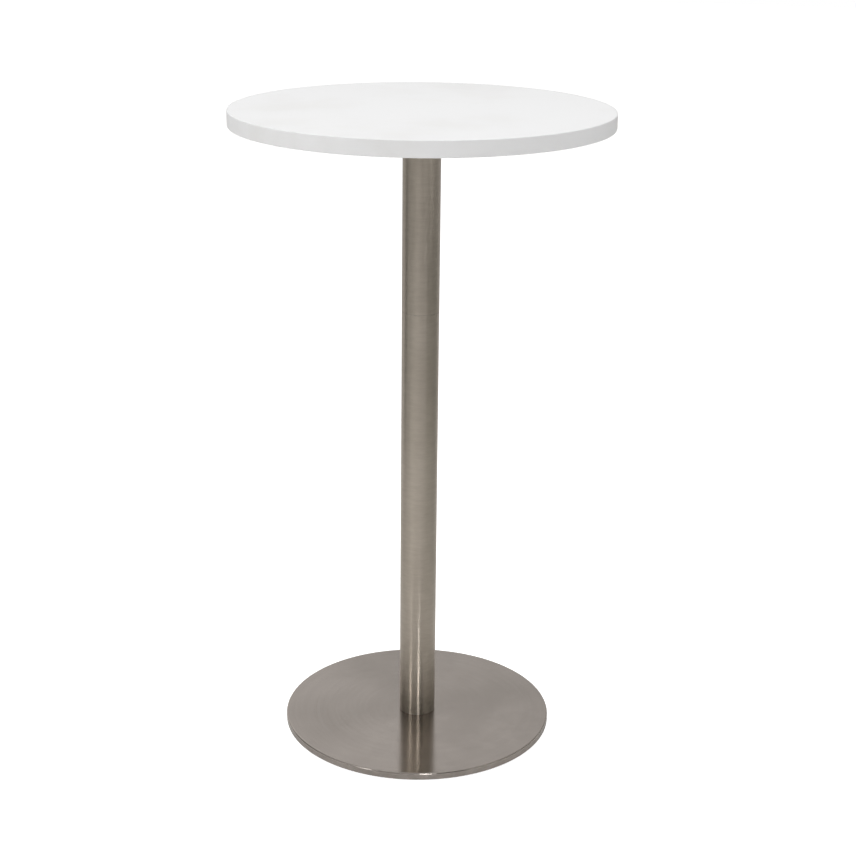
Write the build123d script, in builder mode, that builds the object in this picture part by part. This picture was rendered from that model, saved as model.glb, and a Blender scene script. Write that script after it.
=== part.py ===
from build123d import *

import os
from math import cos, radians

# Bar-height bistro table: a round laminated top on a two-section steel column and a flat weighted disc base.
#
# Millimetres, +Z up. The origin is on the floor, on the column's axis. One long tie rod clamps the table:
# it screws into the cast ballast plate, runs up inside the column and is tightened by a nut in the spider's
# hub, and the table top then hides the nut. Four screw glides in the ballast plate level the table.

os.makedirs("parts", exist_ok=True)

# ---- Whole table ----
table_height = 1045.0

# ---- Table top ----
top_diameter = 600.0
top_thickness = 25.0
laminate_thickness = 0.8
edge_band_thickness = 2.0
edge_band_radius = 1.5
glue_line = 0.1

# ---- Column: two tubes on a sleeve whose thin collar shows between them ----
column_diameter = 60.3
column_wall = 1.5
column_end_chamfer = 0.3
lower_tube_length = 708.5
sleeve_length = 120.0
sleeve_wall = 2.5
sleeve_collar_height = 1.2
sleeve_collar_recess = 0.4
slip_clearance = 0.1
insert_chamfer = 1.0

# ---- Base: pressed cover hemmed round a cast ballast plate ----
base_diameter = 450.0
base_rim_height = 12.0
base_floor_gap = 1.5
cover_sheet = 1.2
cover_rim_radius = 3.0
cover_hem_width = 6.0
cover_hem_radius = 1.4
ballast_clearance = 0.5
ballast_chamfer = 1.0

# ---- Centring boss and the screws that hold it down ----
boss_height = 14.0
boss_screw_count = 3
boss_screw_edge = 3.5
boss_screw_diameter = 6.0
boss_screw_length = 20.0
boss_screw_head_diameter = 12.0
boss_screw_key = 4.0
boss_screw_key_depth = 2.5
boss_screw_point = 0.8
screw_clearance = 0.2
thread_clearance = 0.05
tap_run_out = 1.0

# ---- Tie rod, nut and washers ----
rod_diameter = 12.0
rod_hole_clearance = 0.5
rod_end_chamfer = 1.2
rod_end_recess = 0.5
rod_projection = 2.0
nut_across_flats = 18.0
nut_height = 10.0
nut_face_chamfer = 1.0
nut_gap = 4.0
washer_diameter = 24.0
washer_thickness = 2.5
spring_washer_diameter = 21.0
spring_washer_thickness = 2.5
spring_washer_slit = 1.5

# ---- Spider under the top, and its hub ----
spider_thickness = 5.0
spider_arm_count = 4
spider_arm_reach = 125.0
spider_arm_width = 32.0
spider_centre_diameter = 110.0
spider_root_radius = 10.0
spider_edge_radius = 1.0
hub_floor = 12.0
hub_pocket_diameter = 29.0

# ---- Screws that hold the top to the spider ----
top_screws_per_arm = 2
top_screw_pitch = 42.0
top_screw_diameter = 4.5
top_screw_length = 20.0
top_screw_point_length = 4.0
top_screw_point_diameter = 1.0
top_screw_head_diameter = 9.0
top_screw_head_height = 2.5
top_screw_head_radius = 1.2
top_screw_recess_span = 5.0
top_screw_recess_width = 1.1
top_screw_recess_depth = 1.4

# ---- Levelling glides: a nylon pad that turns on the flanged foot of a threaded stem ----
glide_count = 4
glide_inset = 35.0
pad_diameter = 30.0
pad_height = 4.0
pad_floor = 1.2
pad_lip = 0.8
pad_edge_radius = 0.6
pad_key_hole_diameter = 8.0
pad_running_clearance = 0.5
pocket_clearance = 2.0
pocket_gap = 0.3
stem_diameter = 8.0
stem_flange_diameter = 14.0
stem_flange_clearance = 0.2
stem_end_play = 0.1
stem_top_gap = 0.2
stem_end_chamfer = 0.6
stem_key = 4.0
stem_key_depth = 3.0

# ---- Heights and radii that follow, from the floor up ----
base_radius = base_diameter / 2
base_top = base_floor_gap + base_rim_height
cover_inside_radius = base_radius - cover_sheet
cover_inside_top = base_top - cover_sheet
ballast_bottom = base_floor_gap + cover_sheet
ballast_radius = cover_inside_radius - ballast_clearance

column_radius = column_diameter / 2
column_bore_radius = column_radius - column_wall
insert_radius = column_bore_radius - slip_clearance
collar_bottom = base_top + lower_tube_length
collar_top = collar_bottom + sleeve_collar_height
sleeve_bottom = (collar_bottom + collar_top - sleeve_length) / 2

top_radius = top_diameter / 2
core_radius = top_radius - edge_band_thickness - glue_line
top_underside = table_height - top_thickness
core_bottom = top_underside + laminate_thickness
core_top = table_height - laminate_thickness
spider_underside = top_underside - spider_thickness

rod_hole_radius = rod_diameter / 2 + rod_hole_clearance
rod_thread_radius = rod_diameter / 2 + thread_clearance
nut_top = top_underside - nut_gap
nut_bottom = nut_top - nut_height
nut_corner_radius = nut_across_flats / 2 / cos(radians(30))
spring_washer_bottom = nut_bottom - spring_washer_thickness
hub_seat = spring_washer_bottom - washer_thickness
hub_bottom = hub_seat - hub_floor
rod_bottom = ballast_bottom + rod_end_recess
rod_top = nut_top + rod_projection

boss_top = base_top + boss_height
boss_screw_circle_radius = insert_radius - boss_screw_edge - boss_screw_head_diameter / 2
boss_screw_head_height = (boss_screw_head_diameter - boss_screw_diameter) / 2
boss_screw_hole_radius = boss_screw_diameter / 2 + screw_clearance

pilot_radius = top_screw_diameter / 2 + thread_clearance
pilot_top = spider_underside + top_screw_length + tap_run_out
top_screw_head_bottom = spider_underside - top_screw_head_height
top_screw_point_bottom = spider_underside + top_screw_length - top_screw_point_length

pad_radius = pad_diameter / 2
pad_cavity_top = pad_height - pad_lip
pad_cavity_radius = stem_flange_diameter / 2 + stem_flange_clearance
pocket_top = pad_height + pocket_gap
stem_radius = stem_diameter / 2 - thread_clearance
stem_bottom = pad_floor + stem_end_play
stem_flange_top = pad_cavity_top - stem_end_play
stem_top = cover_inside_top - stem_top_gap


def ring_of_points(radius, count, start, height):
    """Evenly spaced points on a circle round the column's axis."""
    return [Vector(radius, 0, height).rotate(Axis.Z, start + 360 / count * n) for n in range(count)]


def circles_at(edges, radius, height):
    """The circular edges that have one radius and lie at one height."""
    circles = edges.filter_by(GeomType.CIRCLE)
    return circles.filter_by(lambda e: abs(e.radius - radius) < 0.01 and abs(e.arc_center.Z - height) < 0.01)


def corner(sketch, radius, height):
    """The sketch's vertex at one radius and height of a turned section."""
    return sketch.vertices().sort_by_distance((radius, height))[0]


# ---------------------------------------------------------------- table top
# A particleboard core between two laminate sheets, with a plastic band glued round the edge.
top_screw_places = []
for row in range(top_screws_per_arm):
    top_screw_places += ring_of_points(spider_arm_reach - top_screw_pitch * row, spider_arm_count, 0, 0)

with BuildPart() as top_core:
    with BuildSketch(Plane.XY.offset(core_bottom)):
        Circle(core_radius)
    extrude(amount=core_top - core_bottom)
    with BuildSketch(Plane.XY.offset(core_bottom)):
        with Locations(*top_screw_places):
            Circle(pilot_radius)
    extrude(amount=pilot_top - core_bottom, mode=Mode.SUBTRACT)
top_core.part.label = "top_core"
export_step(top_core.part, "parts/top_core.step")

with BuildPart() as top_laminate:
    with BuildSketch(Plane.XY.offset(core_top)):
        Circle(core_radius)
    extrude(amount=laminate_thickness)
top_laminate.part.label = "top_laminate"
export_step(top_laminate.part, "parts/top_laminate.step")

with BuildPart() as underside_laminate:
    with BuildSketch(Plane.XY.offset(top_underside)):
        Circle(core_radius)
        with Locations(*top_screw_places):
            Circle(pilot_radius, mode=Mode.SUBTRACT)
    extrude(amount=laminate_thickness)
underside_laminate.part.label = "underside_laminate"
export_step(underside_laminate.part, "parts/underside_laminate.step")

with BuildPart() as edge_band:
    with BuildSketch(Plane.XY.offset(top_underside)):
        Circle(top_radius)
        Circle(top_radius - edge_band_thickness, mode=Mode.SUBTRACT)
    extrude(amount=top_thickness)
    upper_arris = circles_at(edge_band.edges(), top_radius, table_height)
    lower_arris = circles_at(edge_band.edges(), top_radius, top_underside)
    fillet(upper_arris + lower_arris, edge_band_radius)
edge_band.part.label = "edge_band"
export_step(edge_band.part, "parts/edge_band.step")

# ---------------------------------------------------------------- spider
# A flat plate with rounded arms, screwed to the top. The hub welded under it plugs the column.
with BuildPart() as spider_plate:
    with BuildSketch(Plane.XY.offset(spider_underside)) as spider_outline:
        Circle(spider_centre_diameter / 2)
        for n in range(spider_arm_count):
            arm_angle = 360 / spider_arm_count * n
            arm_middle = Vector(spider_arm_reach / 2, 0).rotate(Axis.Z, arm_angle)
            with Locations(arm_middle):
                SlotCenterToCenter(spider_arm_reach, spider_arm_width, rotation=arm_angle)
        arm_roots = spider_outline.vertices().filter_by(
            lambda v: abs(Vector(v).length - spider_centre_diameter / 2) < 0.01
        )
        fillet(arm_roots, spider_root_radius)
    extrude(amount=spider_thickness)
    lower_edges = spider_plate.faces().sort_by(Axis.Z)[0].outer_wire().edges()
    fillet(lower_edges, spider_edge_radius)
    with Locations((0, 0, top_underside)):
        Hole(hub_pocket_diameter / 2)
    with Locations(*[place + Vector(0, 0, top_underside) for place in top_screw_places]):
        Hole(top_screw_diameter / 2 + screw_clearance)
spider_plate.part.label = "spider_plate"
export_step(spider_plate.part, "parts/spider_plate.step")

with BuildPart() as spider_hub:
    with BuildSketch(Plane.XY.offset(hub_bottom)):
        Circle(insert_radius)
    extrude(amount=spider_underside - hub_bottom)
    chamfer(circles_at(spider_hub.edges(), insert_radius, hub_bottom), insert_chamfer)
    with Locations((0, 0, spider_underside)):
        CounterBoreHole(rod_hole_radius, hub_pocket_diameter / 2, spider_underside - hub_seat)
spider_hub.part.label = "spider_hub"
export_step(spider_hub.part, "parts/spider_hub.step")

with BuildPart() as top_screws:
    with BuildSketch(Plane.XY.offset(top_screw_head_bottom)):
        with Locations(*top_screw_places):
            Circle(top_screw_head_diameter / 2)
    extrude(amount=top_screw_head_height)
    head_arrises = circles_at(top_screws.edges(), top_screw_head_diameter / 2, top_screw_head_bottom)
    fillet(head_arrises, top_screw_head_radius)
    with BuildSketch(Plane.XY.offset(spider_underside)):
        with Locations(*top_screw_places):
            Circle(top_screw_diameter / 2)
    extrude(amount=top_screw_length - top_screw_point_length)
    with Locations(*[place + Vector(0, 0, top_screw_point_bottom) for place in top_screw_places]):
        Cone(
            top_screw_diameter / 2,
            top_screw_point_diameter / 2,
            top_screw_point_length,
            align=(Align.CENTER, Align.CENTER, Align.MIN),
        )
    with BuildSketch(Plane.XY.offset(top_screw_head_bottom)):
        with Locations(*top_screw_places):
            Rectangle(top_screw_recess_span, top_screw_recess_width)
            Rectangle(top_screw_recess_width, top_screw_recess_span)
    extrude(amount=top_screw_recess_depth, mode=Mode.SUBTRACT)
top_screws.part.label = "top_screws"
export_step(top_screws.part, "parts/top_screws.step")

# ---------------------------------------------------------------- column
# Both tubes butt against the sleeve's collar, which is a hair smaller than they are and shows as a dark line.
with BuildPart() as lower_tube:
    with BuildSketch(Plane.XY.offset(base_top)):
        Circle(column_radius)
        Circle(column_bore_radius, mode=Mode.SUBTRACT)
    extrude(amount=lower_tube_length)
    chamfer(circles_at(lower_tube.edges(), column_radius, collar_bottom), column_end_chamfer)
lower_tube.part.label = "lower_tube"
export_step(lower_tube.part, "parts/lower_tube.step")

with BuildPart() as upper_tube:
    with BuildSketch(Plane.XY.offset(collar_top)):
        Circle(column_radius)
        Circle(column_bore_radius, mode=Mode.SUBTRACT)
    extrude(amount=spider_underside - collar_top)
    chamfer(circles_at(upper_tube.edges(), column_radius, collar_top), column_end_chamfer)
upper_tube.part.label = "upper_tube"
export_step(upper_tube.part, "parts/upper_tube.step")

with BuildPart() as joint_sleeve:
    with BuildSketch(Plane.XY.offset(sleeve_bottom)):
        Circle(insert_radius)
    extrude(amount=sleeve_length)
    sleeve_ends = circles_at(joint_sleeve.edges(), insert_radius, sleeve_bottom)
    sleeve_ends += circles_at(joint_sleeve.edges(), insert_radius, sleeve_bottom + sleeve_length)
    chamfer(sleeve_ends, insert_chamfer)
    with BuildSketch(Plane.XY.offset(collar_bottom)):
        Circle(column_radius - sleeve_collar_recess)
    extrude(amount=sleeve_collar_height)
    with Locations((0, 0, collar_top)):
        Hole(insert_radius - sleeve_wall)
joint_sleeve.part.label = "joint_sleeve"
export_step(joint_sleeve.part, "parts/joint_sleeve.step")

# ---------------------------------------------------------------- tie rod and what tightens it
with BuildPart() as tie_rod:
    with BuildSketch(Plane.XY.offset(rod_bottom)):
        Circle(rod_diameter / 2)
    extrude(amount=rod_top - rod_bottom)
    chamfer(tie_rod.edges().filter_by(GeomType.CIRCLE), rod_end_chamfer)
tie_rod.part.label = "tie_rod"
export_step(tie_rod.part, "parts/tie_rod.step")

with BuildPart() as rod_washer:
    with BuildSketch(Plane.XY.offset(hub_seat)):
        Circle(washer_diameter / 2)
        Circle(rod_hole_radius, mode=Mode.SUBTRACT)
    extrude(amount=washer_thickness)
rod_washer.part.label = "rod_washer"
export_step(rod_washer.part, "parts/rod_washer.step")

with BuildPart() as rod_spring_washer:
    with BuildSketch(Plane.XY.offset(spring_washer_bottom)):
        Circle(spring_washer_diameter / 2)
        Circle(rod_hole_radius, mode=Mode.SUBTRACT)
        Rectangle(
            spring_washer_diameter,
            spring_washer_slit,
            align=(Align.MIN, Align.CENTER),
            mode=Mode.SUBTRACT,
        )
    extrude(amount=spring_washer_thickness)
rod_spring_washer.part.label = "rod_spring_washer"
export_step(rod_spring_washer.part, "parts/rod_spring_washer.step")

with BuildPart() as rod_nut:
    with BuildSketch(Plane.XY.offset(nut_bottom)):
        RegularPolygon(nut_across_flats / 2, 6, major_radius=False)
        Circle(rod_thread_radius, mode=Mode.SUBTRACT)
    extrude(amount=nut_height)
    with BuildSketch(Plane.XZ):
        with BuildLine():
            Polyline(
                (0, nut_bottom),
                (nut_corner_radius - 2 * nut_face_chamfer, nut_bottom),
                (nut_corner_radius, nut_bottom + nut_face_chamfer),
                (nut_corner_radius, nut_top - nut_face_chamfer),
                (nut_corner_radius - 2 * nut_face_chamfer, nut_top),
                (0, nut_top),
                close=True,
            )
        make_face()
    revolve(axis=Axis.Z, mode=Mode.INTERSECT)
rod_nut.part.label = "rod_nut"
export_step(rod_nut.part, "parts/rod_nut.step")

# ---------------------------------------------------------------- base
# The cover is one pressed disc. Its rim wraps the ballast plate and its hem is rolled in underneath.
boss_screw_places = ring_of_points(boss_screw_circle_radius, boss_screw_count, 90, 0)
glide_places = ring_of_points(base_radius - glide_inset, glide_count, 180 / glide_count, 0)

with BuildPart() as base_cover:
    with BuildSketch(Plane.XZ) as cover_section:
        with BuildLine():
            Polyline(
                (rod_hole_radius, base_top),
                (base_radius, base_top),
                (base_radius, base_floor_gap),
                (base_radius - cover_hem_width, base_floor_gap),
                (base_radius - cover_hem_width, ballast_bottom),
                (cover_inside_radius, ballast_bottom),
                (cover_inside_radius, cover_inside_top),
                (rod_hole_radius, cover_inside_top),
                close=True,
            )
        make_face()
        fillet(corner(cover_section, base_radius, base_top), cover_rim_radius)
        fillet(corner(cover_section, cover_inside_radius, cover_inside_top), cover_rim_radius - cover_sheet)
        fillet(corner(cover_section, base_radius, base_floor_gap), cover_hem_radius)
        fillet(corner(cover_section, cover_inside_radius, ballast_bottom), cover_hem_radius - cover_sheet)
    revolve(axis=Axis.Z)
    with Locations(*[place + Vector(0, 0, base_top) for place in boss_screw_places]):
        Hole(boss_screw_hole_radius, depth=cover_sheet)
base_cover.part.label = "base_cover"
export_step(base_cover.part, "parts/base_cover.step")

with BuildPart() as ballast_disc:
    with BuildSketch(Plane.XY.offset(ballast_bottom)):
        Circle(ballast_radius)
    extrude(amount=cover_inside_top - ballast_bottom)
    fillet(
        circles_at(ballast_disc.edges(), ballast_radius, cover_inside_top),
        cover_rim_radius - cover_sheet + ballast_clearance,
    )
    chamfer(circles_at(ballast_disc.edges(), ballast_radius, ballast_bottom), ballast_chamfer)
    with Locations((0, 0, cover_inside_top)):
        Hole(rod_thread_radius)
    with Locations(*[place + Vector(0, 0, cover_inside_top) for place in boss_screw_places]):
        Hole(
            boss_screw_diameter / 2 + thread_clearance,
            depth=boss_screw_length - boss_height - cover_sheet + tap_run_out,
        )
    with Locations(*[place + Vector(0, 0, cover_inside_top) for place in glide_places]):
        Hole(stem_diameter / 2)
    with BuildSketch(Plane.XY.offset(ballast_bottom)):
        with Locations(*glide_places):
            Circle(pad_radius + pocket_clearance)
    extrude(amount=pocket_top - ballast_bottom, mode=Mode.SUBTRACT)
ballast_disc.part.label = "ballast_disc"
export_step(ballast_disc.part, "parts/ballast_disc.step")

# ---------------------------------------------------------------- centring boss
# A turned plug that keeps the foot of the column on centre, screwed through the cover into the ballast plate.
with BuildPart() as centring_boss:
    with BuildSketch(Plane.XY.offset(base_top)):
        Circle(insert_radius)
    extrude(amount=boss_height)
    chamfer(circles_at(centring_boss.edges(), insert_radius, boss_top), insert_chamfer)
    with Locations((0, 0, boss_top)):
        Hole(rod_hole_radius)
    with Locations(*[place + Vector(0, 0, boss_top) for place in boss_screw_places]):
        CounterSinkHole(boss_screw_hole_radius, boss_screw_head_diameter / 2, counter_sink_angle=90)
centring_boss.part.label = "centring_boss"
export_step(centring_boss.part, "parts/centring_boss.step")

with BuildPart() as boss_screws:
    with Locations(*[place + Vector(0, 0, boss_top) for place in boss_screw_places]):
        Cylinder(boss_screw_diameter / 2, boss_screw_length, align=(Align.CENTER, Align.CENTER, Align.MAX))
    chamfer(boss_screws.edges().group_by(Axis.Z)[0], boss_screw_point)
    with Locations(*[place + Vector(0, 0, boss_top) for place in boss_screw_places]):
        Cone(
            boss_screw_diameter / 2,
            boss_screw_head_diameter / 2,
            boss_screw_head_height,
            align=(Align.CENTER, Align.CENTER, Align.MAX),
        )
    with BuildSketch(Plane.XY.offset(boss_top)):
        with Locations(*boss_screw_places):
            RegularPolygon(boss_screw_key / 2, 6, major_radius=False)
    extrude(amount=-boss_screw_key_depth, mode=Mode.SUBTRACT)
boss_screws.part.label = "boss_screws"
export_step(boss_screws.part, "parts/boss_screws.step")

# ---------------------------------------------------------------- levelling glides
for number, place in enumerate(glide_places, start=1):
    glide_plane = Plane(origin=place, x_dir=(1, 0, 0), z_dir=(0, -1, 0))
    glide_axis = Axis(place, (0, 0, 1))

    with BuildPart() as glide_pad:
        with BuildSketch(glide_plane) as pad_section:
            with BuildLine():
                Polyline(
                    (pad_key_hole_diameter / 2, 0),
                    (pad_radius, 0),
                    (pad_radius, pad_height),
                    (stem_diameter / 2 + pad_running_clearance, pad_height),
                    (stem_diameter / 2 + pad_running_clearance, pad_cavity_top),
                    (pad_cavity_radius, pad_cavity_top),
                    (pad_cavity_radius, pad_floor),
                    (pad_key_hole_diameter / 2, pad_floor),
                    close=True,
                )
            make_face()
            fillet(corner(pad_section, pad_radius, 0), pad_edge_radius)
            fillet(corner(pad_section, pad_radius, pad_height), pad_edge_radius)
        revolve(axis=glide_axis)
    glide_pad.part.label = f"glide_{number}_pad"
    export_step(glide_pad.part, f"parts/glide_{number}_pad.step")

    with BuildPart() as glide_stem:
        with BuildSketch(glide_plane) as stem_section:
            with BuildLine():
                Polyline(
                    (0, stem_bottom),
                    (stem_flange_diameter / 2, stem_bottom),
                    (stem_flange_diameter / 2, stem_flange_top),
                    (stem_radius, stem_flange_top),
                    (stem_radius, stem_top),
                    (0, stem_top),
                    close=True,
                )
            make_face()
            chamfer(corner(stem_section, stem_radius, stem_top), stem_end_chamfer)
        revolve(axis=glide_axis)
        with BuildSketch(Plane.XY.offset(stem_bottom)):
            with Locations(place):
                RegularPolygon(stem_key / 2, 6, major_radius=False)
        extrude(amount=stem_key_depth, mode=Mode.SUBTRACT)
    glide_stem.part.label = f"glide_{number}_stem"
    export_step(glide_stem.part, f"parts/glide_{number}_stem.step")
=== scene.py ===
"""Bar-height bistro table: the pieces that are seen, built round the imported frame.

Every piece is in metres and in the frame's own place. Round pieces are turned: a section is spun about an upright
axis and its corners are then eased with bevels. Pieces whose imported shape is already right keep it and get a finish.
"""

import logging
from dataclasses import dataclass
from enum import Enum
from math import atan2, cos, hypot, pi, radians, sin, tau

import bmesh
import bpy
from mathutils import Euler, Matrix, Vector


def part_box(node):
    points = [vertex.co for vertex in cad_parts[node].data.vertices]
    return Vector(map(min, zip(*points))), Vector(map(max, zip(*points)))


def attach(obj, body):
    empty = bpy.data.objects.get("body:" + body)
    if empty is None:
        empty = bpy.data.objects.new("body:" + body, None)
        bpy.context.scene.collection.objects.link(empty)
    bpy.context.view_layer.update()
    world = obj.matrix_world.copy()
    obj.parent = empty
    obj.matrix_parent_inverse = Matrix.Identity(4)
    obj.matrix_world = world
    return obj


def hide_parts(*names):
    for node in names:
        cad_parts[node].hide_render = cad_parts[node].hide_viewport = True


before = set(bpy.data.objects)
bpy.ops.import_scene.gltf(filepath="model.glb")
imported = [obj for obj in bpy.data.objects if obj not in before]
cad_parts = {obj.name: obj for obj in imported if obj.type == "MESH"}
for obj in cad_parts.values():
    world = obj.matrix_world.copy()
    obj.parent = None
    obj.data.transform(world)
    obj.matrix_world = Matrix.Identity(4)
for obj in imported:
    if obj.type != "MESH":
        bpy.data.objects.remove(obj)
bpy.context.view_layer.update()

LOG = logging.getLogger("bistro_table")
MM = 0.001
MERGE = 1e-6
NEAR = MERGE * 10
THREAD_DEPTH = 0.61
SENSOR_WIDTH = 36.0
Colour = tuple[float, float, float]
Place = tuple[float, float, float]


# ---------------------------------------------------------------- measuring the frame and turning sections


@dataclass(frozen=True)
class Turned:
    """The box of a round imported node, read as a turned piece: its axis, outer radius and ends.

    Attributes:
        x: where its axis stands, across.
        y: where its axis stands, front to back.
        radius: its outer radius.
        bottom: its lowest height.
        top: its highest height.
    """

    x: float
    y: float
    radius: float
    bottom: float
    top: float

    @classmethod
    def of(cls, node: str) -> "Turned":
        """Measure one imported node.

        Args:
            node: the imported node's name.

        Returns:
            The node's axis, radius and ends.
        """
        low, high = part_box(node)
        return cls(
            x=(low[0] + high[0]) / 2,
            y=(low[1] + high[1]) / 2,
            radius=min(high[0] - low[0], high[1] - low[1]) / 2,
            bottom=low[2],
            top=high[2],
        )

    @property
    def axis(self) -> Vector:
        """The foot of the axis, at height zero."""
        return Vector((self.x, self.y, 0.0))


def turn(
    section: list[tuple[float, float]],
    steps: int,
    axis: Vector = Vector((0.0, 0.0, 0.0)),
    sweep: float = tau,
    start: float = 0.0,
) -> bmesh.types.BMesh:
    """Spin a section of (radius, height) corners about an upright axis.

    Args:
        section: the corners in order. Where the first and last both lie on the axis, no edge joins them.
        steps: how many facets go round.
        axis: the foot of the axis.
        sweep: the angle that the section is spun through.
        start: the angle that it starts from, anticlockwise from +X.

    Returns:
        A closed mesh whose faces point outwards.
    """
    bm = bmesh.new()
    corners = [bm.verts.new((axis.x + radius, axis.y, height)) for radius, height in section]
    edges = [bm.edges.new(pair) for pair in zip(corners, corners[1:])]
    if section[0][0] > 0 or section[-1][0] > 0:
        edges.append(bm.edges.new((corners[-1], corners[0])))
    full = sweep == tau
    bmesh.ops.spin(
        bm, geom=corners + edges, cent=axis, axis=(0, 0, 1), angle=sweep, steps=steps, use_merge=full
    )
    bmesh.ops.remove_doubles(bm, verts=bm.verts, dist=MERGE)
    if not full:
        bmesh.ops.holes_fill(bm, edges=[e for e in bm.edges if e.is_boundary], sides=len(section))
    bmesh.ops.rotate(bm, verts=bm.verts, cent=axis, matrix=Matrix.Rotation(start, 3, "Z"))
    bmesh.ops.recalc_face_normals(bm, faces=bm.faces)
    return bm


def ease(
    bm: bmesh.types.BMesh,
    radius: float,
    height: float,
    size: float,
    segments: int,
    axis: Vector = Vector((0.0, 0.0, 0.0)),
) -> None:
    """Round the ring of edges at one radius and height of a turned piece.

    Args:
        bm: the turned piece.
        radius: the ring's radius.
        height: the ring's height.
        size: the rounding's radius.
        segments: how many facets the rounding has.
        axis: the foot of the piece's axis.
    """

    def on_ring(vertex: bmesh.types.BMVert) -> bool:
        """Whether a vertex lies on the ring."""
        reach = hypot(vertex.co.x - axis.x, vertex.co.y - axis.y)
        return abs(reach - radius) < NEAR and abs(vertex.co.z - height) < NEAR

    ring = [edge for edge in bm.edges if on_ring(edge.verts[0]) and on_ring(edge.verts[1])]
    bmesh.ops.bevel(
        bm, geom=ring, offset=size, segments=segments, profile=0.5, affect="EDGES", material=-1, clamp_overlap=True
    )


def join(bm: bmesh.types.BMesh, other: bmesh.types.BMesh) -> None:
    """Add another mesh's shells to bm, and free the other mesh."""
    passed = bpy.data.meshes.new("passed")
    other.to_mesh(passed)
    other.free()
    bm.from_mesh(passed)
    bpy.data.meshes.remove(passed)


def thread(
    radius: float, pitch: float, bottom: float, top: float, axis: Vector = Vector((0.0, 0.0, 0.0)), steps: int = 24
) -> bmesh.types.BMesh:
    """Cut a right-hand 60 degree thread between two heights.

    Args:
        radius: the crests' radius.
        pitch: the rise in one turn.
        bottom: where the thread is cut off below.
        top: where it is cut off above.
        axis: the foot of the thread's axis.
        steps: how many facets go round.

    Returns:
        The threaded length as one closed shell.
    """
    root = radius - THREAD_DEPTH * pitch
    outline = [(root, 0.0), (root, 0.2), (radius, 0.5), (radius, 0.63), (root, 0.93), (root, 1.0)]
    turns = int((top - bottom) / pitch) + 3
    bm = bmesh.new()
    corners = [bm.verts.new((axis.x + r, axis.y, bottom + (share - 1.5) * pitch)) for r, share in outline]
    edges = [bm.edges.new(pair) for pair in zip(corners, corners[1:])]
    bmesh.ops.spin(
        bm,
        geom=corners + edges,
        cent=axis,
        axis=(0, 0, 1),
        dvec=(0, 0, pitch / steps),
        angle=tau * turns,
        steps=steps * turns,
    )
    bmesh.ops.remove_doubles(bm, verts=bm.verts, dist=MERGE * 5)
    for height, outwards in ((bottom, -1.0), (top, 1.0)):
        shell = bm.verts[:] + bm.edges[:] + bm.faces[:]
        bmesh.ops.bisect_plane(
            bm, geom=shell, plane_co=(0, 0, height), plane_no=(0, 0, outwards), clear_outer=True
        )
        rim = [e for e in bm.edges if e.is_boundary and abs(e.verts[0].co.z - height) < MERGE]
        bmesh.ops.edgeloop_fill(bm, edges=rim)
    bmesh.ops.recalc_face_normals(bm, faces=bm.faces)
    return bm


def hex_socket(
    bm: bmesh.types.BMesh, mouth: float, height: float, across_flats: float, depth: float, axis: Vector
) -> None:
    """Close the round mouth in the underside of a turned piece with a hexagonal key socket.

    Args:
        bm: the turned piece, with an open circular edge at the mouth.
        mouth: the radius of that edge; it is not used.
        height: its height.
        across_flats: the socket's size across its flats.
        depth: how far up the socket goes.
        axis: the foot of the piece's axis.
    """
    rim = [e for e in bm.edges if e.is_boundary and abs(e.verts[0].co.z - height) < NEAR]
    cuts = len(rim) // 6 - 1
    start = Matrix.Translation(axis + Vector((0, 0, height)))
    corner_radius = across_flats / 2 / cos(pi / 6)
    made = bmesh.ops.create_circle(bm, cap_ends=False, segments=6, radius=corner_radius, matrix=start)
    sides = list({edge for vertex in made["verts"] for edge in vertex.link_edges})
    bmesh.ops.subdivide_edges(bm, edges=sides, cuts=cuts)
    sides = [e for e in bm.edges if e.is_wire and e.verts[0].co.z < height + NEAR]
    bmesh.ops.bridge_loops(bm, edges=rim + sides)
    sides = [e for e in bm.edges if e.is_boundary and abs(e.verts[0].co.z - height) < NEAR]
    walls = bmesh.ops.extrude_edge_only(bm, edges=sides)["geom"]
    raised = [v for v in walls if isinstance(v, bmesh.types.BMVert)]
    bmesh.ops.translate(bm, verts=raised, vec=(0, 0, depth))
    ends = [e for e in bm.edges if e.is_boundary]
    bmesh.ops.edgeloop_fill(bm, edges=ends)
    bmesh.ops.recalc_face_normals(bm, faces=bm.faces)


# ---------------------------------------------------------------- shader wiring and shared effects


class Output(Enum):
    """The kinds of socket that a shared effect has."""

    VALUE = "NodeSocketFloat"
    VECTOR = "NodeSocketVector"


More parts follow.
